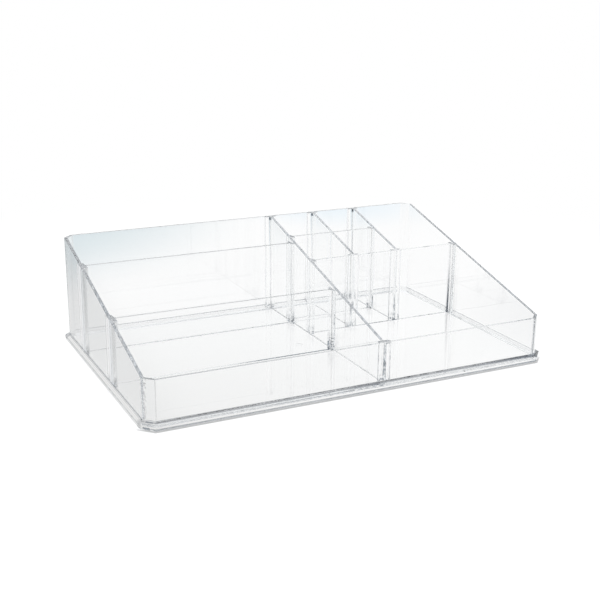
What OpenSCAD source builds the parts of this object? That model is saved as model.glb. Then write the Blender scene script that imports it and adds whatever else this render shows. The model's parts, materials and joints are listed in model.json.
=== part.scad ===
// Clear vanity organizer: a tray with a tall back, sloping sides and nine open bays.
// X runs left to right, Y runs front to back, Z is up; the ground is at Z = 0.

/* [Walls] */
// Width across the outer faces of the two side walls
box_w = 326.2; // [270:0.2:380]
// Depth across the outer faces of the front and back walls
box_d = 207; // [172:1:250]
// Height of the back wall's top edge above the ground
back_h = 87.5; // [70:0.5:120]
// Height of the front wall's top edge above the ground
front_h = 36; // [26:0.5:60]
// Thickness of the outer walls
wall_t = 2.5; // [2:0.1:3.2]
// Length of each wall taken off by the flat corner strip
corner_cut = 7.3; // [5:0.1:12]

/* [Base] */
// Distance the base stands out past the outer walls
plinth_out = 3.4; // [2:0.1:4.5]
// Height of the ledge that runs round outside the walls
plinth_h = 6.8; // [5.8:0.1:9]
// Width of the level strip of the ledge next to the walls
ledge_flat = 0.5; // [0.3:0.1:1]
// Distance the ledge slopes down from there to its outer edge
ledge_fall = 1.4; // [0.6:0.1:2]
// Size of the bevel along the lower outer edge of the base
foot_bevel = 1.8; // [0.6:0.1:2.4]
// Height of the inner floor above the ground
floor_h = 4.5; // [3.8:0.1:5.2]
// Thickness of the floor sheet
floor_t = 2.5; // [2:0.1:3.2]
// Depth of the grooves that take the feet of walls and dividers
groove_depth = 1; // [0.6:0.1:1.4]
// Diameter of the round moulding mark under the middle of the floor
mark_d = 5.6; // [4:0.1:9]
// Depth of the round moulding mark
mark_depth = 0.4; // [0.2:0.1:0.8]

/* [Bays] */
// Share of the clear width that the three wide left bays take
left_bay_share = 0.5595; // [0.5:0.002:0.6]
// Share of the clear width that each of the four small cells takes
cell_share = 0.1206; // [0.1:0.001:0.135]
// Share of the clear depth that the left front bay takes
left_front_share = 0.386; // [0.3:0.002:0.41]
// Share of the clear depth that the left middle bay takes
left_middle_share = 0.3594; // [0.28:0.002:0.38]
// Share of the clear depth that the large right front bay takes
right_front_share = 0.5985; // [0.5:0.002:0.63]

/* [Dividers and guide ribs] */
// Thickness of every divider
divider_t = 2.5; // [2:0.1:3.2]
// Distance from the sloping rim down to the tops of the two left cross dividers
left_drop = 1; // [0.4:0.1:2]
// Distance a guide rib stands out from its panel
rib_out = 2.8; // [2.2:0.1:3.4]
// Length of a guide rib along its panel
rib_w = 3.6; // [2.6:0.1:7]
// Length of a guide rib along the left side wall
side_rib_w = 6.8; // [4:0.1:8]
// Radius on the free upright edge of a guide rib
rib_round = 1.6; // [0.8:0.1:2]
// Sliding clearance on each side of a divider in its rib channel and groove
slip = 0.1; // [0.05:0.01:0.2]

/* [Hidden] */
$fn = 48;
corner_angle = 45;
mitre_angle = corner_angle / 2;
mitre_in = wall_t * tan(mitre_angle);
overrun = wall_t;
foot_z = floor_h - groove_depth;
ledge_run = plinth_out - ledge_flat;
clear_rgba = [0.90, 0.93, 0.95, 0.35];

// Plan lines, measured from the outer left and outer front faces
inner_right = box_w - wall_t;
inner_back = box_d - wall_t;
clear_w = inner_right - wall_t;
clear_d = inner_back - wall_t;
cell_w = clear_w * cell_share;
main_x = wall_t + clear_w * left_bay_share;
main_right = main_x + divider_t;
cell_line_x = main_right + cell_w;
bay_line_x = cell_line_x + divider_t + cell_w;
left_front_y = wall_t + clear_d * left_front_share;
left_rear_y = left_front_y + divider_t + clear_d * left_middle_share;
cross_y = wall_t + clear_d * right_front_share;
cross_back = cross_y + divider_t;
lap_y = (cross_back + inner_back - divider_t) / 2;

// Height of the common sloping rim at depth y
function rim_z(y) =
    let (run = box_d - 2 * corner_cut)
    let (share = min(max((y - corner_cut) / run, 0), 1))
    front_h + (back_h - front_h) * share;

left_front_top = rim_z(left_front_y) - left_drop;
left_rear_top = rim_z(left_rear_y) - left_drop;
cross_top = rim_z(cross_y);
lap_top = rim_z(lap_y);
lap_z = (foot_z + lap_top) / 2;

// Moves a shape from the plan's corner to the middle of the tray
module centred() {
    translate([-box_w / 2, -box_d / 2, 0]) children();
}

// Outer outline of the walls, with the four corners cut flat
module outer_plan() {
    polygon([
        [corner_cut, 0], [box_w - corner_cut, 0],
        [box_w, corner_cut], [box_w, box_d - corner_cut],
        [box_w - corner_cut, box_d], [corner_cut, box_d],
        [0, box_d - corner_cut], [0, corner_cut]
    ]);
}

// Inner outline of the walls
module inner_plan() {
    polygon([
        [corner_cut + mitre_in, wall_t], [box_w - corner_cut - mitre_in, wall_t],
        [inner_right, corner_cut + mitre_in], [inner_right, box_d - corner_cut - mitre_in],
        [box_w - corner_cut - mitre_in, inner_back], [corner_cut + mitre_in, inner_back],
        [wall_t, box_d - corner_cut - mitre_in], [wall_t, corner_cut + mitre_in]
    ]);
}

// Footprint of a divider with the sliding clearance added on its two faces
module groove_x(x0, x1, y) {
    translate([x0, y - slip]) square([x1 - x0, divider_t + 2 * slip]);
}

module groove_y(x, y0, y1) {
    translate([x - slip, y0]) square([divider_t + 2 * slip, y1 - y0]);
}

// Every groove in the floor: one ring for the walls and one run for each divider
module groove_plan() {
    difference() {
        outer_plan();
        inner_plan();
    }
    groove_y(main_x, wall_t, inner_back);
    groove_y(cell_line_x, cross_back, inner_back);
    groove_y(bay_line_x, cross_back, inner_back);
    groove_x(wall_t, main_x, left_front_y);
    groove_x(wall_t, main_x, left_rear_y);
    groove_x(main_right, inner_right, cross_y);
    groove_x(main_right, bay_line_x, lap_y);
}

// Long bar along X as tall as the ledge, with a sloping ledge and a bevelled foot along each side
module bevelled_bar(width) {
    half = width / 2 + plinth_out;
    rotate([2 * corner_angle, 0, 2 * corner_angle]) linear_extrude(2 * box_w, center = true) polygon([
        [foot_bevel - half, 0], [half - foot_bevel, 0],
        [half, foot_bevel], [half, plinth_h - ledge_fall],
        [half - ledge_run, plinth_h], [ledge_run - half, plinth_h],
        [-half, plinth_h - ledge_fall], [-half, foot_bevel]
    ]);
}

// Outside of the base: what four bars share, one for each pair of opposite sides and corners
module plinth() {
    corner_w = (box_w + box_d - 2 * corner_cut) * sin(corner_angle);
    intersection() {
        bevelled_bar(box_d);
        rotate([0, 0, 2 * corner_angle]) bevelled_bar(box_w);
        rotate([0, 0, corner_angle]) bevelled_bar(corner_w);
        rotate([0, 0, -corner_angle]) bevelled_bar(corner_w);
    }
}

module base() {
    color(clear_rgba) centred() difference() {
        translate([box_w / 2, box_d / 2, 0]) plinth();
        // Space above the floor, inside the ledge
        translate([0, 0, floor_h]) linear_extrude(plinth_h) outer_plan();
        // Grooves for the feet of the walls and dividers
        translate([0, 0, foot_z]) linear_extrude(plinth_h) groove_plan();
        // Hollow under the floor, inside the skirt
        translate([0, 0, floor_h - floor_t - plinth_h]) linear_extrude(plinth_h) inner_plan();
        // Round moulding mark under the middle of the floor
        translate([box_w / 2, box_d / 2, 0]) cylinder(h = floor_h - floor_t + mark_depth, d = mark_d);
    }
}

// One guide rib of length w at the origin: it stands out along +Y and runs away along +X
module rib(top, w) {
    flat_w = w - rib_round;
    flat_out = rib_out - rib_round;
    rise = top - floor_h;
    translate([0, 0, floor_h]) {
        cube([w, flat_out, rise]);
        cube([flat_w, rib_out, rise]);
        translate([flat_w, flat_out, 0]) cylinder(h = rise, r = rib_round);
    }
}

// A pair of ribs on either side of a divider that meets the panel at x = 0
module rib_pair(top, w = rib_w) {
    half_gap = divider_t / 2 + slip;
    translate([half_gap, 0, 0]) rib(top, w);
    mirror([1, 0, 0]) translate([half_gap, 0, 0]) rib(top, w);
}

// Rib pairs standing out of a panel face toward each of the four sides
module ribs_to_back(x, y, top) {
    translate([x + divider_t / 2, y, 0]) rib_pair(top);
}

module ribs_to_front(x, y, top) {
    translate([x + divider_t / 2, y, 0]) mirror([0, 1, 0]) rib_pair(top);
}

module ribs_to_right(x, y, top, w = rib_w) {
    translate([x, y + divider_t / 2, 0]) rotate([0, 0, -2 * corner_angle]) rib_pair(top, w);
}

module ribs_to_left(x, y, top) {
    translate([x, y + divider_t / 2, 0]) rotate([0, 0, 2 * corner_angle]) rib_pair(top);
}

// Upright panel along X at the outer front face, both ends cut for the corner strips
module long_panel(top) {
    translate([0, 0, foot_z]) linear_extrude(top - foot_z) polygon([
        [corner_cut, 0], [box_w - corner_cut, 0],
        [box_w - corner_cut - mitre_in, wall_t], [corner_cut + mitre_in, wall_t]
    ]);
}

module front_wall() {
    color(clear_rgba) centred() {
        long_panel(front_h);
        ribs_to_back(main_x, wall_t, front_h);
    }
}

module back_wall() {
    color(clear_rgba) centred() {
        translate([0, box_d, 0]) mirror([0, 1, 0]) long_panel(back_h);
        for (x = [main_x, cell_line_x, bay_line_x]) ribs_to_front(x, inner_back, back_h);
    }
}

// Upright sheet along Y with the sloping rim, from y0 to y1, its left face at x
module sloped_sheet(x, t, y0, y1) {
    front_end = max(y0, corner_cut);
    back_end = min(y1, box_d - corner_cut);
    translate([x, 0, 0]) rotate([2 * corner_angle, 0, 2 * corner_angle]) linear_extrude(t) polygon([
        [y0, foot_z], [y1, foot_z], [y1, rim_z(y1)],
        [back_end, rim_z(back_end)], [front_end, rim_z(front_end)], [y0, rim_z(y0)]
    ]);
}

// Left side wall: a sloped sheet with both ends mitred
module side_panel() {
    intersection() {
        sloped_sheet(0, wall_t, corner_cut, box_d - corner_cut);
        linear_extrude(back_h) polygon([
            [0, corner_cut], [wall_t, corner_cut + mitre_in],
            [wall_t, box_d - corner_cut - mitre_in], [0, box_d - corner_cut]
        ]);
    }
}

module left_wall() {
    color(clear_rgba) centred() {
        side_panel();
        ribs_to_right(wall_t, left_front_y, left_front_top, side_rib_w);
        ribs_to_right(wall_t, left_rear_y, left_rear_top, side_rib_w);
    }
}

module right_wall() {
    color(clear_rgba) centred() {
        translate([box_w, 0, 0]) mirror([1, 0, 0]) side_panel();
        ribs_to_left(inner_right, cross_y, cross_top);
    }
}

// Flat strip across the front left corner
module corner_strip(top) {
    translate([0, 0, foot_z]) linear_extrude(top - foot_z) polygon([
        [corner_cut, 0], [corner_cut + mitre_in, wall_t],
        [wall_t, corner_cut + mitre_in], [0, corner_cut]
    ]);
}

module corner_front_left() {
    color(clear_rgba) centred() corner_strip(front_h);
}

module corner_front_right() {
    color(clear_rgba) centred() translate([box_w, 0, 0]) mirror([1, 0, 0]) corner_strip(front_h);
}

module corner_back_left() {
    color(clear_rgba) centred() translate([0, box_d, 0]) mirror([0, 1, 0]) corner_strip(back_h);
}

module corner_back_right() {
    color(clear_rgba) centred() translate([box_w, box_d, 0]) rotate([0, 0, 4 * corner_angle])
        corner_strip(back_h);
}

// Main divider from the front wall to the back wall
module main_divider() {
    color(clear_rgba) centred() {
        sloped_sheet(main_x, divider_t, wall_t + slip, inner_back - slip);
        ribs_to_left(main_x, left_front_y, left_front_top);
        ribs_to_left(main_x, left_rear_y, left_rear_top);
        ribs_to_right(main_right, cross_y, cross_top);
        ribs_to_right(main_right, lap_y, lap_top);
    }
}

// Divider between the two columns of small cells, slotted from the top for the cross divider
module cell_divider() {
    color(clear_rgba) centred() difference() {
        sloped_sheet(cell_line_x, divider_t, cross_back + slip, inner_back - slip);
        translate([cell_line_x - overrun, lap_y - slip, lap_z])
            cube([divider_t + 2 * overrun, divider_t + 2 * slip, back_h]);
    }
}

// Divider between the small cells and the right rear bay
module bay_divider() {
    color(clear_rgba) centred() {
        sloped_sheet(bay_line_x, divider_t, cross_back + slip, inner_back - slip);
        ribs_to_left(bay_line_x, lap_y, lap_top);
    }
}

// Level-topped sheet along X between two panels, its front face at y
module level_sheet(x0, x1, y, top) {
    translate([x0 + slip, y, foot_z]) cube([x1 - x0 - 2 * slip, divider_t, top - foot_z]);
}

module right_cross_divider() {
    color(clear_rgba) centred() {
        level_sheet(main_right, inner_right, cross_y, cross_top);
        ribs_to_back(cell_line_x, cross_back, cross_top);
        ribs_to_back(bay_line_x, cross_back, cross_top);
    }
}

// Short cross divider through the small cells, slotted from below for the cell divider
module cell_cross_divider() {
    color(clear_rgba) centred() difference() {
        level_sheet(main_right, bay_line_x, lap_y, lap_top);
        translate([cell_line_x - slip, lap_y - overrun, foot_z - overrun])
            cube([divider_t + 2 * slip, divider_t + 2 * overrun, lap_z - foot_z + overrun]);
    }
}

module left_front_divider() {
    color(clear_rgba) centred() level_sheet(wall_t, main_x, left_front_y, left_front_top);
}

module left_rear_divider() {
    color(clear_rgba) centred() level_sheet(wall_t, main_x, left_rear_y, left_rear_top);
}

base();
back_wall();
front_wall();
left_wall();
right_wall();
corner_back_left();
corner_back_right();
corner_front_left();
corner_front_right();
main_divider();
cell_divider();
bay_divider();
right_cross_divider();
cell_cross_divider();
left_front_divider();
left_rear_divider();
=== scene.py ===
"""Looks of the clear vanity organizer: polished sheets, moulded base, white studio."""

import json
import math

import bpy
from mathutils import Matrix, Vector


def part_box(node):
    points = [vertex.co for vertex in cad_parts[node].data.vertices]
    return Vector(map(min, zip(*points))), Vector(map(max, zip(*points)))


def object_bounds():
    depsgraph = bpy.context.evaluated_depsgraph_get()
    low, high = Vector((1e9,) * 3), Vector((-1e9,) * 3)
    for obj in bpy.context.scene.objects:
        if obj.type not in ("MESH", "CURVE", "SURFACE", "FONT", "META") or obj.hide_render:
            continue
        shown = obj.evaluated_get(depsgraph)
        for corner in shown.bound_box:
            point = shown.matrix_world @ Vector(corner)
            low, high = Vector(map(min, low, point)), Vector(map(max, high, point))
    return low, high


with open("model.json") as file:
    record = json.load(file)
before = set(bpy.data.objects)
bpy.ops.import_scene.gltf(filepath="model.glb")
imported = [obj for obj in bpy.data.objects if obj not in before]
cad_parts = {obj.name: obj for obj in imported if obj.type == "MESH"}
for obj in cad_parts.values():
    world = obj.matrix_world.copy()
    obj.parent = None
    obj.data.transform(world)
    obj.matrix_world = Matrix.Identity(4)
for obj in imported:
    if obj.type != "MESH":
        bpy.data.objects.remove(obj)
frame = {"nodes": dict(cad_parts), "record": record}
cad_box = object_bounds()

MM = 0.001
SHEET = 2.5 * MM

# The photograph's camera, as fitted to it, in the part's own frame
CAMERA_AT = Vector((-0.3535, -0.7177, 0.2921))
CAMERA_TURN = math.radians(26.29)
CAMERA_DOWN = math.radians(17.387)
CAMERA_ROLL = math.radians(-0.624)
CAMERA_LENS = 62.68
SENSOR = 36.0

# The plastic: clear, with faint clouds of colour, fine handling marks and a slight swell
PLASTIC_IOR = 1.57
CLEAR = (0.990, 0.992, 0.993)
CLOUD_SCALE = 9.0
CLOUD_DETAIL = 2.0
CLOUD_TINT = 0.6
MARK_SCALE = 140.0
MARK_DETAIL = 4.0
MARK_SPAN = (0.45, 0.8)
MARK_ROUGH = (0.0, 0.05)
SWELL_SCALE = 38.0
SWELL_DETAIL = 1.0
SWELL_DEPTH = 2.0 * MM
SHEET_WAVE = 0.010
BASE_WAVE = 0.003
# Each piece takes its clouds and marks from another place in the noise
SEED_TURN = 0.7
# The colour of lamp light that has come through
LAMP_TINT = (0.97, 0.975, 0.98)
# Long paths inside the plastic turn slate
SLATE = (0.40, 0.46, 0.50)
SLATE_DENSITY = 1.5
BASE_DENSITY = 0.3
# Edges are softened, and each piece stands back a hair from its neighbours
ROUND_EDGE = 0.25 * MM
ROUND_STEPS = 2
ROUND_ANGLE = math.radians(20)
STAND_BACK = 0.04 * MM
WELD = 0.001 * MM

# The upward part of the normals of the sloping rims and of the ledge's front
SLOPE_UP = 0.966
LEDGE_UP = 0.900
# What the x and y of an upright mitre's normal multiply to, whatever their signs
MITRE_TURN = 0.3536
# How far off a part of a normal may be
SLOPE_NEAR = 0.015
LEVEL_NEAR = 0.005
LEDGE_NEAR = 0.03
MITRE_NEAR = 0.02
OUTWARD_NEAR = 0.1
FLAT_NEAR = 0.01
UPRIGHT_NEAR = 0.5

# Painted shade on narrow edges: its colour, and its strength on sloping rims and on level tops. The rims'
# strength was chosen by measuring them in the photograph. The painted marks below were placed to match it
PAINTED_SHADE_TINT = (0.10, 0.12, 0.15)
RIM_SHADE = 0.74
LEVEL_SHADE = {
    "front_wall": 0.1,
    "corner_front_left": 0.8,
    "corner_front_right": 0.8,
    "corner_back_left": 0.9,
    "right_wall": 0.95,
    "left_wall": 0.3,
}
# Painted beads of light that break up the painted shade of a sloping rim
BEAD_SCALE = 300.0
BEAD_DETAIL = 1.0
BEAD_EDGE = (0.42, 0.58)
BEADS = {
    "main_divider": 0.3,
    "cell_divider": 0.45,
    "bay_divider": 0.15,
    "left_wall": 0.3,
    "right_wall": 0.05,
}
# Level tops that are rough
SATIN_TOPS = {
    "left_front_divider": 0.4,
    "left_rear_divider": 0.4,
    "cell_cross_divider": 0.4,
    "back_wall": 0.4,
}

# Painted shade on the front of the base's ledge and foot, with its strength at the left and the right end of
# a run
FRONT_Y = -94.0 * MM
FOOT_Y = -104.0 * MM
LEDGE_RUN = (0.07, 0.15)
LEDGE_SHADE = (0.32, 0.9)
FOOT_TOP = 2.3 * MM
FOOT_SHADE = (0.85, 1.0)
# A run of deeper painted shade on the ledge, just left of where the long divider meets the front wall
DEEP_AT = 4.0 * MM
DEEP_FADE = (22.0 * MM, 10.0 * MM)
DEEP_SHADE = 0.75
# Painted shade on the top of the base along its left side
LEFT_X = -163.0 * MM
LEFT_TOP = 7.3 * MM
LEFT_DEEP = 0.6 * MM
LEFT_SHADE = 0.9
# The left foot rests so closely on the paper that its underside vanishes
REST_X = -156.0 * MM
REST_Z = 0.2 * MM
# Painted shade at the base's corners, in mm: middle, half size, lowest and highest point, and strength
CORNERS = (((-161.9, -101.4), (2.2, 2.2), (0.0, 2.6), 1.0),
           ((-165.6, -97.2), (1.2, 1.8), (0.0, 6.8), 0.5),
           ((-165.2, 93.5), (1.6, 3.6), (3.8, 6.9), 0.7),
           ((157.2, -105.0), (1.5, 2.2), (4.7, 6.9), 1.0),
           ((160.5, -102.0), (3.5, 3.5), (0.0, 3.2), 0.7))
# Painted shade on the sides of the dividers' grooves, darker in spots than between them
GROOVE_Z = 3.85 * MM
GROOVE_HALF = 0.7 * MM
GROOVE_SIDE = 0.5 * MM
GROOVE_SHADE = 0.8
GROOVE_FRONT = 0.35
GROOVE_EVEN = 0.4
GROOVE_RUN = (-75.0 * MM, -45.0 * MM)
# They lie within the ring groove
INSIDE_X = 160.4 * MM
INSIDE_Y = 100.9 * MM
# Painted shade on the joint lines and on the pale band along the feet of the right and back walls: how far
# out from the wall's inner face, the middle height, the half height, and the strength
FOOT_LINES = ((-0.1 * MM, 4.0 * MM, 0.55 * MM, 0.25),
              (2.6 * MM, 5.2 * MM, 1.75 * MM, 0.12),
              (2.6 * MM, 6.45 * MM, 0.3 * MM, 0.55))
FOOT_LINE_WIDE = 0.25 * MM

# The dividers whose ends are joined, the axis across each, and which side of its box its sheet is on
DIVIDERS = {
    "main_divider": (0, "middle"),
    "cell_divider": (0, "low"),
    "bay_divider": (0, "high"),
    "right_cross_divider": (1, "low"),
    "cell_cross_divider": (1, "low"),
    "left_front_divider": (1, "low"),
    "left_rear_divider": (1, "low"),
}
# A joint's half width across its divider, its reach along it, and the strength of the painted shade on its
# top and on its foot
JOINT_WIDE = 5.1 * MM
JOINT_WIDE_LEFT = 8.3 * MM
JOINT_IN = 3.4 * MM
JOINT_OUT = 0.5 * MM
JOINT_TOP = 0.85
JOINT_FOOT = 1.0
# The half width of the sheet's own end inside it, at the front or left and at the rear or right.
# Its top has painted shade within this band of the tallest rim
SHEET_END = (1.3 * MM, 2.0 * MM)
RIM_BAND = 3.0 * MM
# How high the mottled painted shade goes, and the share of that height below which it doesn't fade. It
# goes higher at one guide and at one sheet's own end; 0 is a front or left end and 1 a rear or right one
JOINT_RISE = 12.0 * MM
RISE_FULL = 0.6
TALL_RISE = {("left_front_divider", 1): 20.0 * MM}
END_RISE = {("main_divider", 0): 38.0 * MM}
MOTTLE_SCALE = 650.0
MOTTLE_DETAIL = 2.0
MOTTLE_EDGE = (0.52, 0.57)
# Ends with an even painted shade, from the first strength at the foot to the second higher up
END_TONE = {("right_cross_divider", 1): (0.9, 0.15)}
TONE_RUN = (14.0 * MM, 48.0 * MM)

# Painted shade on the front right corner's upright edges, in mm: middle and half size in plan, and strength
CORNER_EDGES = (((155.8, -103.4), (0.9, 0.6), 0.6),
                ((163.0, -96.2), (0.6, 0.9), 0.6))
# Painted light: a white strip on the left wall where the end of each of two dividers is cemented on, where
# light piped along the divider comes out, each with an edge of painted shade
STRIP_BACK = 1.0 * MM
STRIP_HALF = 1.9 * MM
PAINTED_LIGHT_COLOUR = (0.95, 0.96, 0.97)
PAINTED_LIGHT_MIX = 0.9
STRIP_EDGE_BACK = 3.5 * MM
STRIP_EDGE_HALF = 0.6 * MM
STRIP_EDGE_SHADE = 0.55
# Painted shade on the top of the guide rib to the right of the long divider's front end
WEDGE_AT = Vector((23.6, -98.9)) * MM
WEDGE_HALF = Vector((1.9, 3.4)) * MM
WEDGE_TALL = 2.2 * MM
WEDGE_SHADE = 0.85
# Mottled painted shade on the upright seam at the front left corner
SEAM_AT = Vector((-161.6, -96.0)) * MM
SEAM_HALF = Vector((2.4, 2.2)) * MM
SEAM_SHADE = 0.45

# The floor that the camera sees: lit paper by the object, a painted shadow where it touches, and white
# farther off
WHITE = (1.0, 1.0, 1.0)
FLOOR_SIZE = 6.0
FLOOR_GAP = 0.02 * MM
PAPER = (0.8, 0.8, 0.8)
PAPER_LIFT = 0.25
PAPER_FADE = (0.35, 0.6)
# How far the foot stands in from the part's box, at the sides and at the cut corners
FOOT_IN = 1.8 * MM
FOOT_CUT = 11.8 * MM
# The painted shadow in front of the foot: its strength, where it fades out, and how it ends toward the back
CONTACT_SHADE = 0.5
CONTACT_RUN = (2.0 * MM, 3.2 * MM)
CONTACT_BACK = 3.0 * SHEET
# The floor as the plastic shows it, with painted shade: a fall-off to the left and four soft spots,
# which give the large panels their tones. They were set until the panels had the photograph's tones. Each
# spot has a colour, a middle, and the two distances from it between which it fades to white
SIDE_SHADE = (0.54, 0.55, 0.555)
SIDE_AXIS = (1.0, -0.1, 0.0)
SIDE_FADE = (-0.255, -0.10)
REAR_SHADE = (0.72, 0.80, 0.83)
REAR_SPOT = (-0.22, 0.62, 0.0)
REAR_FADE = (0.22, 0.43)
BLUE_SHADE = (0.86, 0.93, 0.98)
BLUE_SPOT = (0.29, 0.49, 0.0)
BLUE_FADE = (0.03, 0.17)
FRONT_SHADE = (0.86, 0.86, 0.855)
FRONT_SPOT = (-0.20, -0.16, 0.0)
FRONT_FADE = (0.0, 0.40)
RIGHT_SHADE = (0.90, 0.905, 0.91)
RIGHT_SPOT = (0.30, -0.05, 0.0)
RIGHT_FADE = (0.05, 0.20)

# The world: a grey room above a pale horizon, and a soft even light on matt surfaces
HORIZON = (0.97, 0.98, 0.98)
ROOM = (0.33, 0.36, 0.40)
HORIZON_FADE = (0.50, 0.75)
SOFT_LIGHT = (0.75, 0.75, 0.75)
# The lamps: name, place, side and power. They face the part, from where its floor mirrors neither to the
# photograph's camera
LAMPS = (("key", (-0.6, -0.9, 1.6), 2.4, 12.0),
         ("back", (0.8, 1.0, 2.2), 2.4, 13.0))
# Light passes many sheets on its way
CLEAR_BOUNCES = 96
TRANSPARENT_BOUNCES = 32


def link(obj):
    bpy.context.scene.collection.objects.link(obj)
    return obj


class Graph:
    """A short way to add nodes to a node tree and join them."""

    def __init__(self, tree):
        self.tree = tree
        tree.nodes.clear()

    def add(self, kind, **values):
        node = self.tree.nodes.new(kind)
        for name, value in values.items():
            if hasattr(node, name):
                setattr(node, name, value)
            else:
                node.inputs[name.replace("_", " ")].default_value = value
        return node

    def join(self, a, b):
        self.tree.links.new(a, b)


def new_material(name):
    mat = bpy.data.materials.new(name)
    mat.use_nodes = True
    return mat, Graph(mat.node_tree)


def smooth_step(g, value, low, high):
    """A factor that eases from 0 at low to 1 at high."""
    step = g.add("ShaderNodeMapRange", interpolation_type="SMOOTHSTEP", From_Min=low, From_Max=high)
    g.join(value, step.inputs["Value"])
    return step.outputs[0]


def blend(g, factor, a, b):
    """A colour between a and b; either one is a plain colour or a socket."""
    mix = g.add("ShaderNodeMix", data_type="RGBA")
    g.join(factor, mix.inputs["Factor"])
    for name, value in (("A", a), ("B", b)):
        if isinstance(value, tuple):
            mix.inputs[name].default_value = (*value, 1)
        else:
            g.join(value, mix.inputs[name])
    return mix.outputs["Result"]


def multiply(g, a, b):
    """One colour times another."""
    mix = g.add("ShaderNodeMix", data_type="RGBA", blend_type="MULTIPLY")
    mix.inputs["Factor"].default_value = 1.0
    g.join(a, mix.inputs["A"])
    g.join(b, mix.inputs["B"])
    return mix.outputs["Result"]


def near_value(g, value, target, tolerance):
    """1 where value is within tolerance of target, else 0."""
    node = g.add("ShaderNodeMath", operation="COMPARE")
    g.join(value, node.inputs[0])
    node.inputs[1].default_value = target
    node.inputs[2].default_value = tolerance
    return node.outputs[0]


def below(g, value, limit):
    """1 where value is less than limit, else 0."""
    node = g.add("ShaderNodeMath", operation="LESS_THAN")
    g.join(value, node.inputs[0])
    node.inputs[1].default_value = limit
    return node.outputs[0]


def product(g, a, b):
    """One value times another; b is a plain number or a socket."""
    node = g.add("ShaderNodeMath", operation="MULTIPLY")
    g.join(a, node.inputs[0])
    if isinstance(b, float):
        node.inputs[1].default_value = b
    else:
        g.join(b, node.inputs[1])
    return node.outputs[0]


def largest(g, a, b):
    node = g.add("ShaderNodeMath", operation="MAXIMUM")
    g.join(a, node.inputs[0])
    g.join(b, node.inputs[1])
    return node.outputs[0]


def largest_of(g, values):
    """The largest of several values."""
    found = values[0]
    for value in values[1:]:
        found = largest(g, found, value)
    return found


def ramp(g, value, span, ends):
    """Runs from one end value to the other while value crosses span."""
    node = g.add("ShaderNodeMapRange", From_Min=span[0], From_Max=span[1],
                 To_Min=ends[0], To_Max=ends[1])
    g.join(value, node.inputs["Value"])
    return node.outputs[0]


def absolute(g, value):
    node = g.add("ShaderNodeMath", operation="ABSOLUTE")
    g.join(value, node.inputs[0])
    return node.outputs[0]


def minus(g, value, taken):
    """The value less a plain number."""
    node = g.add("ShaderNodeMath", operation="SUBTRACT")
    g.join(value, node.inputs[0])
    node.inputs[1].default_value = taken
    return node.outputs[0]


def split_xyz(g, vector):
    node = g.add("ShaderNodeSeparateXYZ")
    g.join(vector, node.inputs[0])
    return node.outputs


def noise(g, place, scale, detail):
    """Soft random values from 0 to 1."""
    node = g.add("ShaderNodeTexNoise", Scale=scale, Detail=detail)
    g.join(place, node.inputs["Vector"])
    return node.outputs["Fac"]


def mix_shaders(g, factor, first, second):
    """The first shader where factor is 0 and the second where it is 1."""
    mix = g.add("ShaderNodeMixShader")
    g.join(factor, mix.inputs[0])
    g.join(first, mix.inputs[1])
    g.join(second, mix.inputs[2])
    return mix.outputs[0]


def in_plan(g, point, middle, half):
    """1 inside a box in plan, at any height."""
    across = near_value(g, point["X"], middle.x, half.x)
    return product(g, across, near_value(g, point["Y"], middle.y, half.y))


def rim_shade(g, face, place, node):
    """How much painted shade the top of a sheet has. Painted beads of light break up a sloping rim."""
    faintest = RIM_SHADE * (1.0 - BEADS.get(node, 0.0))
    slope = ramp(g, noise(g, place, BEAD_SCALE, BEAD_DETAIL), BEAD_EDGE, (faintest, RIM_SHADE))
    sloping = product(g, near_value(g, face["Z"], SLOPE_UP, SLOPE_NEAR), slope)
    level = product(g, near_value(g, face["Z"], 1.0, LEVEL_NEAR), LEVEL_SHADE.get(node, 0.0))
    return largest(g, sloping, level)


def front_shade(g, point, face):
    """How much painted shade the front of the ledge and the foot has."""
    deep = ramp(g, absolute(g, minus(g, point["X"], DEEP_AT)), DEEP_FADE, (0.0, DEEP_SHADE))
    along = largest(g, ramp(g, point["X"], LEDGE_RUN, LEDGE_SHADE), deep)
    ledge = product(g, near_value(g, face["Z"], LEDGE_UP, LEDGE_NEAR), along)
    low = near_value(g, point["Z"], 0.0, FOOT_TOP)
    foot = product(g, low, ramp(g, point["X"], LEDGE_RUN, FOOT_SHADE))
    return largest(g, product(g, ledge, below(g, point["Y"], FRONT_Y)),
                   product(g, foot, below(g, point["Y"], FOOT_Y)))


def left_shade(g, point):
    """How much painted shade the top of the base has along its left side."""
    top = near_value(g, point["Z"], LEFT_TOP, LEFT_DEEP)
    return product(g, product(g, top, below(g, point["X"], LEFT_X)), LEFT_SHADE)


def corner_shades(g, point):
    """How strong each spot of painted shade at the corners of the base is."""
    shades = []
    for middle, half, (low, high), strength in CORNERS:
        plan = in_plan(g, point, Vector(middle) * MM, Vector(half) * MM)
        tall = near_value(g, point["Z"], (low + high) / 2 * MM, (high - low) / 2 * MM)
        shades.append(product(g, product(g, plan, tall), strength))
    return shades


def foot_lines(g, point):
    """How much painted shade the ring groove has where the right and back walls stand in it."""
    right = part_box("right_wall")[1].x - SHEET
    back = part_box("back_wall")[1].y - SHEET
    shades = []
    for axis, inner in (("X", right), ("Y", back)):
        for out, height, half, strength in FOOT_LINES:
            side = near_value(g, point[axis], inner + out, FOOT_LINE_WIDE)
            level = near_value(g, point["Z"], height, half)
            shades.append(product(g, product(g, side, level), strength))
    return shades


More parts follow.
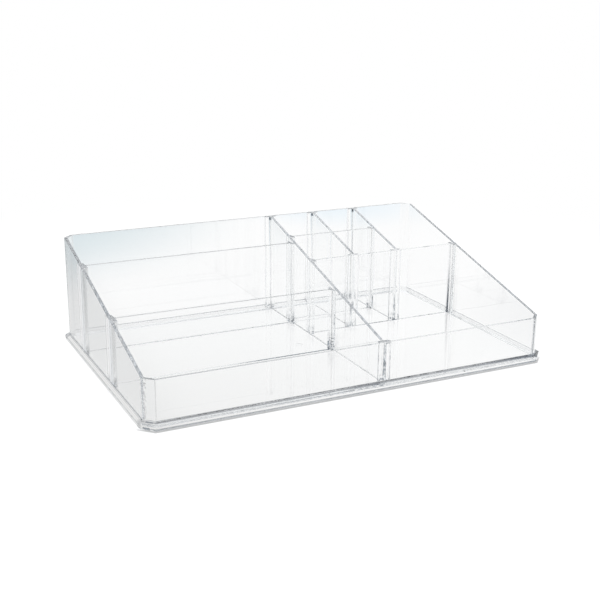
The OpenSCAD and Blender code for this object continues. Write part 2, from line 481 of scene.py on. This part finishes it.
def groove_shade(g, point, face, spots):
    """How much painted shade the sides of the dividers' grooves have: fainter in the front bay,
    and dark where its divider ends. The rear side of that divider's groove has only the dark end."""
    upright = near_value(g, face["Z"], 0.0, UPRIGHT_NEAR)
    low = product(g, near_value(g, point["Z"], GROOVE_Z, GROOVE_HALF), upright)
    inside = in_plan(g, point, Vector((0.0, 0.0)), Vector((INSIDE_X, INSIDE_Y)))
    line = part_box("left_front_divider")[0].y + SHEET / 2
    front_bay = below(g, point["Y"], line - SHEET)
    general = ramp(g, front_bay, (0.0, 1.0), (GROOVE_SHADE, GROOVE_FRONT))
    broken = product(g, general, ramp(g, spots, (0.0, 1.0), (GROOVE_EVEN, 1.0)))
    toward_end = ramp(g, point["X"], GROOVE_RUN, (0.0, 1.0))
    end = product(g, near_value(g, point["Y"], line, SHEET), toward_end)
    left = below(g, point["X"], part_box("main_divider")[1].x)
    rear_side = product(g, near_value(g, point["Y"], line + SHEET / 2, GROOVE_SIDE), left)
    elsewhere = ramp(g, rear_side, (0.0, 1.0), (1.0, 0.0))
    strength = largest(g, product(g, elsewhere, broken), product(g, end, left))
    return product(g, product(g, low, inside), strength)


def base_shade(g, point, face, spots):
    """How much painted shade each point of the base has."""
    shades = [front_shade(g, point, face), left_shade(g, point)]
    shades += corner_shades(g, point)
    shades += foot_lines(g, point)
    shades.append(groove_shade(g, point, face, spots))
    return largest_of(g, shades)


def joints():
    """Where each end of each divider is held: its middle and half size in plan, how high the mottling goes,
    whether it is the sheet's own end and not the whole guide, and its even painted shade, if it has one."""
    places = []
    left_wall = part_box("left_wall")[1].x
    for node, (across, side) in DIVIDERS.items():
        low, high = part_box(node)
        run = 1 - across
        line = {"low": low[across] + SHEET / 2, "high": high[across] - SHEET / 2,
                "middle": (low[across] + high[across]) / 2}[side]
        for count, (end, inward) in enumerate(((low[run], 1), (high[run], -1))):
            at_left_wall = run == 0 and end < left_wall
            middle, half = Vector((0, 0)), Vector((0, 0))
            middle[across] = line
            half[across] = JOINT_WIDE_LEFT if at_left_wall else JOINT_WIDE
            middle[run] = end + inward * (JOINT_IN - JOINT_OUT) / 2
            half[run] = (JOINT_IN + JOINT_OUT) / 2
            places.append((middle, half, TALL_RISE.get((node, count), JOINT_RISE), False, None))
            tone = END_TONE.get((node, count))
            if across == 0 or tone:
                narrow = half.copy()
                narrow[across] = SHEET_END[count]
                places.append((middle, narrow, END_RISE.get((node, count), JOINT_RISE), True, tone))
    return places


def touches(node, place):
    """Whether a joint reaches a node, in plan."""
    low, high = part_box(node)
    middle, half = place[:2]
    return all(low[i] < middle[i] + half[i] and high[i] > middle[i] - half[i] for i in (0, 1))


def joint_shades(g, point, face, spots, places):
    """How much painted shade each joint has: a dark top, and dark mottling that fades upward."""
    level = near_value(g, face["Z"], 1.0, LEVEL_NEAR)
    at_rim = near_value(g, point["Z"], cad_box[1].z, RIM_BAND)
    shades = []
    for middle, half, rise, own_end, tone in places:
        foot = product(g, spots, ramp(g, point["Z"], (rise * RISE_FULL, rise), (JOINT_FOOT, 0.0)))
        marks = largest(g, foot, product(g, at_rim if own_end else level, JOINT_TOP))
        if tone:
            marks = largest(g, marks, ramp(g, point["Z"], TONE_RUN, tone))
        shades.append(product(g, in_plan(g, point, middle, half), marks))
    return shades


def along_ends(g, point, face, back, half):
    """1 on the left wall's outer face, on an upright strip by the end of each long divider on the left."""
    strips = [near_value(g, point["Y"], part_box(node)[0].y - back, half)
              for node in ("left_front_divider", "left_rear_divider")]
    return product(g, near_value(g, face["X"], -1.0, OUTWARD_NEAR), largest_of(g, strips))


def wedge_shade(g, point):
    """Painted shade on the top of the guide rib to the right of the long divider's front end."""
    tall = near_value(g, point["Z"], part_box("front_wall")[1].z, WEDGE_TALL)
    return product(g, product(g, in_plan(g, point, WEDGE_AT, WEDGE_HALF), tall), WEDGE_SHADE)


def corner_edges(g, point, spots):
    """Painted shade, mottled on the seam at the front left corner and even on the front right one's edges.
    """
    seam = product(g, in_plan(g, point, SEAM_AT, SEAM_HALF), spots)
    shades = [product(g, seam, SEAM_SHADE)]
    for middle, half, strength in CORNER_EDGES:
        edge = in_plan(g, point, Vector(middle) * MM, Vector(half) * MM)
        shades.append(product(g, edge, strength))
    return shades


def sheet_shade(g, node, place, point, face, spots, places):
    """How much painted shade each point of an upright sheet has."""
    shades = [rim_shade(g, face, place, node)]
    shades += joint_shades(g, point, face, spots, places)
    if node == "left_wall":
        # Painted shade along the edge of each strip of painted light
        edge = along_ends(g, point, face, STRIP_EDGE_BACK, STRIP_EDGE_HALF)
        shades.append(product(g, edge, STRIP_EDGE_SHADE))
    if node == "front_wall":
        shades.append(wedge_shade(g, point))
    shades += corner_edges(g, point, spots)
    return largest_of(g, shades)


def cemented(g, face):
    """1 on the upright mitred faces, which the cement makes vanish."""
    turn = product(g, face["X"], face["Y"])
    mitre = near_value(g, product(g, turn, turn), MITRE_TURN * MITRE_TURN, MITRE_NEAR)
    return product(g, mitre, near_value(g, face["Z"], 0.0, UPRIGHT_NEAR))


def resting(g, point, face):
    """1 on the underside of the base's left foot."""
    flat = near_value(g, absolute(g, face["Z"]), 1.0, FLAT_NEAR)
    left = product(g, flat, below(g, point["X"], REST_X))
    return product(g, left, near_value(g, point["Z"], 0.0, REST_Z))


def cloudy(g, place):
    """The plastic's own colour, in faint soft clouds."""
    paler = tuple(1 - (1 - c) * CLOUD_TINT for c in CLEAR)
    return blend(g, noise(g, place, CLOUD_SCALE, CLOUD_DETAIL), CLEAR, paler)


def roughness(g, place, face, tops):
    """Polished, with fine handling marks, and rougher on some level tops."""
    marks = ramp(g, noise(g, place, MARK_SCALE, MARK_DETAIL), MARK_SPAN, MARK_ROUGH)
    return largest(g, marks, product(g, near_value(g, face["Z"], 1.0, LEVEL_NEAR), tops))


def swell(g, place, wave):
    """A slight unevenness of the moulded faces."""
    bump = g.add("ShaderNodeBump", Strength=wave, Distance=SWELL_DEPTH)
    g.join(noise(g, place, SWELL_SCALE, SWELL_DETAIL), bump.inputs["Height"])
    return bump.outputs[0]


def pass_lamps(g, body):
    """Lets the lamps shine through the plastic and reach the floor."""
    light = g.add("ShaderNodeLightPath")
    clear = g.add("ShaderNodeBsdfTransparent", Color=(*LAMP_TINT, 1))
    lamps = largest(g, light.outputs["Is Shadow Ray"], light.outputs["Is Diffuse Ray"])
    return mix_shaders(g, lamps, body, clear.outputs[0])


def clear_plastic(name, node, base, seed, places):
    """Clear moulded plastic for one node, with the marks that the photograph shows on it, painted as shade
    and light.
    """
    mat, g = new_material(name)
    out = g.add("ShaderNodeOutputMaterial")
    body = g.add("ShaderNodeBsdfPrincipled", Transmission_Weight=1.0, IOR=PLASTIC_IOR)
    where = g.add("ShaderNodeTexCoord")
    point = split_xyz(g, where.outputs["Object"])
    face = split_xyz(g, g.add("ShaderNodeNewGeometry").outputs["True Normal"])
    shift = g.add("ShaderNodeMapping", Location=(seed, seed * SEED_TURN, -seed))
    g.join(where.outputs["Object"], shift.inputs["Vector"])
    place = shift.outputs[0]

    # Mottling for the painted shade at the joints, the grooves and the front left seam
    spots = smooth_step(g, noise(g, place, MOTTLE_SCALE, MOTTLE_DETAIL), *MOTTLE_EDGE)
    if base:
        shade = base_shade(g, point, face, spots)
    else:
        shade = sheet_shade(g, node, place, point, face, spots, places)
    # Where the masks of painted shade are strong, the plastic's colour turns to the painted shade's tint
    g.join(blend(g, shade, cloudy(g, place), PAINTED_SHADE_TINT), body.inputs["Base Color"])
    g.join(roughness(g, place, face, SATIN_TOPS.get(node, 0.0)), body.inputs["Roughness"])
    g.join(swell(g, place, BASE_WAVE if base else SHEET_WAVE), body.inputs["Normal"])

    vanish = resting(g, point, face) if base else cemented(g, face)
    nothing = g.add("ShaderNodeBsdfTransparent").outputs[0]
    surface = mix_shaders(g, vanish, pass_lamps(g, body.outputs[0]), nothing)
    if node == "left_wall":
        # Painted light: white strips on the left wall's outer face, where light piped along two dividers
        # comes out
        painted_light = g.add("ShaderNodeBsdfDiffuse", Color=(*PAINTED_LIGHT_COLOUR, 1)).outputs[0]
        strip = product(g, along_ends(g, point, face, STRIP_BACK, STRIP_HALF), PAINTED_LIGHT_MIX)
        surface = mix_shaders(g, strip, surface, painted_light)
    g.join(surface, out.inputs["Surface"])

    depth = g.add("ShaderNodeVolumeAbsorption", Color=(*SLATE, 1),
                  Density=BASE_DENSITY if base else SLATE_DENSITY)
    g.join(depth.outputs[0], out.inputs["Volume"])
    return mat


def dress(obj, mat):
    """Gives a CAD node its material, softened edges and a hair of room to its neighbours."""
    obj.data.materials.clear()
    obj.data.materials.append(mat)
    weld = obj.modifiers.new("weld", "WELD")
    weld.merge_threshold = WELD
    room = obj.modifiers.new("room", "DISPLACE")
    room.mid_level = 0.0
    room.strength = -STAND_BACK
    soft = obj.modifiers.new("soft", "BEVEL")
    soft.width = ROUND_EDGE
    soft.segments = ROUND_STEPS
    soft.limit_method = "ANGLE"
    soft.angle_limit = ROUND_ANGLE
    soft.harden_normals = True


def dress_all():
    places = joints()
    for count, part in enumerate(frame["record"]["subparts"]):
        node, slot = part["node"], part["material_slot"]
        near = [place for place in places if touches(node, place)]
        mat = clear_plastic("%s_%d" % (slot, count), node, slot == "clear_base", 1.0 + count, near)
        dress(frame["nodes"][node], mat)


def floor_spot(g, place, spot, fade, shade):
    """White, but for a soft shaded spot on the floor."""
    away = g.add("ShaderNodeVectorMath", operation="DISTANCE")
    g.join(place.outputs["Object"], away.inputs[0])
    away.inputs[1].default_value = spot
    return blend(g, smooth_step(g, away.outputs["Value"], *fade), shade, WHITE)


def floor_in_glass(g):
    """The pale floor as the plastic shows it: white, with painted shade in a fall-off to the left and four
    soft spots.
    """
    place = g.add("ShaderNodeTexCoord")
    across = g.add("ShaderNodeVectorMath", operation="DOT_PRODUCT")
    g.join(place.outputs["Object"], across.inputs[0])
    across.inputs[1].default_value = SIDE_AXIS
    side = blend(g, smooth_step(g, across.outputs["Value"], *SIDE_FADE), SIDE_SHADE, WHITE)
    rear = floor_spot(g, place, REAR_SPOT, REAR_FADE, REAR_SHADE)
    blue = floor_spot(g, place, BLUE_SPOT, BLUE_FADE, BLUE_SHADE)
    front = floor_spot(g, place, FRONT_SPOT, FRONT_FADE, FRONT_SHADE)
    right = floor_spot(g, place, RIGHT_SPOT, RIGHT_FADE, RIGHT_SHADE)
    return multiply(g, multiply(g, side, multiply(g, rear, blue)), multiply(g, front, right))


def contact(g):
    """0 on the floor by the front of the object's foot, and 1 elsewhere."""
    point = split_xyz(g, g.add("ShaderNodeTexCoord").outputs["Object"])
    x, y = absolute(g, point["X"]), absolute(g, point["Y"])
    both = g.add("ShaderNodeMath", operation="ADD")
    g.join(x, both.inputs[0])
    g.join(y, both.inputs[1])
    far = cad_box[1]
    sides = ((x, far.x - FOOT_IN, 1.0),
             (y, far.y - FOOT_IN, 1.0),
             (both.outputs[0], far.x + far.y - FOOT_CUT, math.sqrt(2)))
    away = [ramp(g, size, (edge + CONTACT_RUN[0] * run, edge + CONTACT_RUN[1] * run), (0.0, 1.0))
            for size, edge, run in sides]
    away.append(ramp(g, point["Y"], (FRONT_Y - CONTACT_BACK, FRONT_Y), (0.0, 1.0)))
    return largest_of(g, away)


def floor_for_camera(g):
    """Lit paper by the object, with a soft painted shadow where it stands, and plain white farther off."""
    apart = contact(g)
    # Painted shadow: the paper and its glow darken by the front of the foot
    paper = g.add("ShaderNodeBsdfDiffuse")
    g.join(blend(g, apart, tuple(c * CONTACT_SHADE for c in PAPER), PAPER), paper.inputs["Color"])
    lift = g.add("ShaderNodeEmission", Strength=PAPER_LIFT)
    g.join(blend(g, apart, (CONTACT_SHADE,) * 3, WHITE), lift.inputs["Color"])
    near = g.add("ShaderNodeAddShader")
    g.join(paper.outputs[0], near.inputs[0])
    g.join(lift.outputs[0], near.inputs[1])
    white = g.add("ShaderNodeEmission", Strength=1.0)
    reach = g.add("ShaderNodeVectorMath", operation="LENGTH")
    g.join(g.add("ShaderNodeTexCoord").outputs["Object"], reach.inputs[0])
    far = smooth_step(g, reach.outputs["Value"], *PAPER_FADE)
    return mix_shaders(g, far, near.outputs[0], white.outputs[0])


def floor_material():
    """The floor for the camera, for the plastic, and for the light that falls on it."""
    mat, g = new_material("floor")
    out = g.add("ShaderNodeOutputMaterial")
    light = g.add("ShaderNodeLightPath")
    paper = g.add("ShaderNodeBsdfDiffuse", Color=(*PAPER, 1))
    sweep = g.add("ShaderNodeEmission", Strength=1.0)
    g.join(floor_in_glass(g), sweep.inputs["Color"])
    in_glass = largest(g, light.outputs["Is Transmission Ray"], light.outputs["Is Glossy Ray"])
    lit = mix_shaders(g, in_glass, paper.outputs[0], sweep.outputs[0])
    both = mix_shaders(g, light.outputs["Is Camera Ray"], lit, floor_for_camera(g))
    g.join(both, out.inputs["Surface"])
    return mat


def studio_floor():
    """A matt pale sheet. The camera sees it white apart from the object's shadow, which is painted by its
    foot.
    """
    mesh = bpy.data.meshes.new("floor")
    corners = [(x * FLOOR_SIZE, y * FLOOR_SIZE, 0) for x, y in ((-1, -1), (1, -1), (1, 1), (-1, 1))]
    mesh.from_pydata(corners, [], [(0, 1, 2, 3)])
    floor = link(bpy.data.objects.new("floor", mesh))
    floor.location.z = -FLOOR_GAP
    mesh.materials.append(floor_material())


def studio_world():
    """White behind the object for the camera; a grey room above a pale horizon for everything else."""
    world = bpy.data.worlds.new("studio")
    bpy.context.scene.world = world
    world.use_nodes = True
    g = Graph(world.node_tree)
    out = g.add("ShaderNodeOutputWorld")
    height = split_xyz(g, g.add("ShaderNodeTexCoord").outputs["Generated"])["Z"]
    room = g.add("ShaderNodeBackground", Strength=1.0)
    g.join(blend(g, smooth_step(g, height, *HORIZON_FADE), HORIZON, ROOM), room.inputs["Color"])
    soft = g.add("ShaderNodeBackground", Color=(*SOFT_LIGHT, 1), Strength=1.0)
    white = g.add("ShaderNodeBackground", Color=(*WHITE, 1), Strength=1.0)
    light = g.add("ShaderNodeLightPath")
    lit = mix_shaders(g, light.outputs["Is Diffuse Ray"], room.outputs[0], soft.outputs[0])
    seen = mix_shaders(g, light.outputs["Is Camera Ray"], lit, white.outputs[0])
    g.join(seen, out.inputs["Surface"])


def area_light(name, place, side, power):
    """A square soft lamp that faces the object."""
    data = bpy.data.lights.new(name, "AREA")
    data.shape = "RECTANGLE"
    data.size, data.size_y = side, side
    data.energy = power
    lamp = link(bpy.data.objects.new(name, data))
    lamp.location = place
    lamp.rotation_euler = (-Vector(place)).to_track_quat("-Z", "Y").to_euler()


def studio_camera():
    level = math.cos(CAMERA_DOWN)
    forward = Vector((math.sin(CAMERA_TURN) * level, math.cos(CAMERA_TURN) * level, -math.sin(CAMERA_DOWN)))
    right = Vector((math.cos(CAMERA_TURN), -math.sin(CAMERA_TURN), 0))
    down = forward.cross(right)
    c, s = math.cos(CAMERA_ROLL), math.sin(CAMERA_ROLL)
    right, down = c * right + s * down, c * down - s * right
    data = bpy.data.cameras.new("camera")
    data.lens = CAMERA_LENS
    data.sensor_width = SENSOR
    camera = link(bpy.data.objects.new("camera", data))
    turn = Matrix((right, -down, -forward)).transposed()
    camera.matrix_world = Matrix.Translation(CAMERA_AT) @ turn.to_4x4()
    bpy.context.scene.camera = camera


dress_all()
studio_floor()
studio_world()
for lamp in LAMPS:
    area_light(*lamp)
studio_camera()
scene = bpy.context.scene
scene.view_settings.view_transform = "Standard"
scene.cycles.max_bounces = CLEAR_BOUNCES
scene.cycles.transmission_bounces = CLEAR_BOUNCES
scene.cycles.glossy_bounces = CLEAR_BOUNCES
scene.cycles.transparent_max_bounces = TRANSPARENT_BOUNCES
bpy.context.view_layer.update()
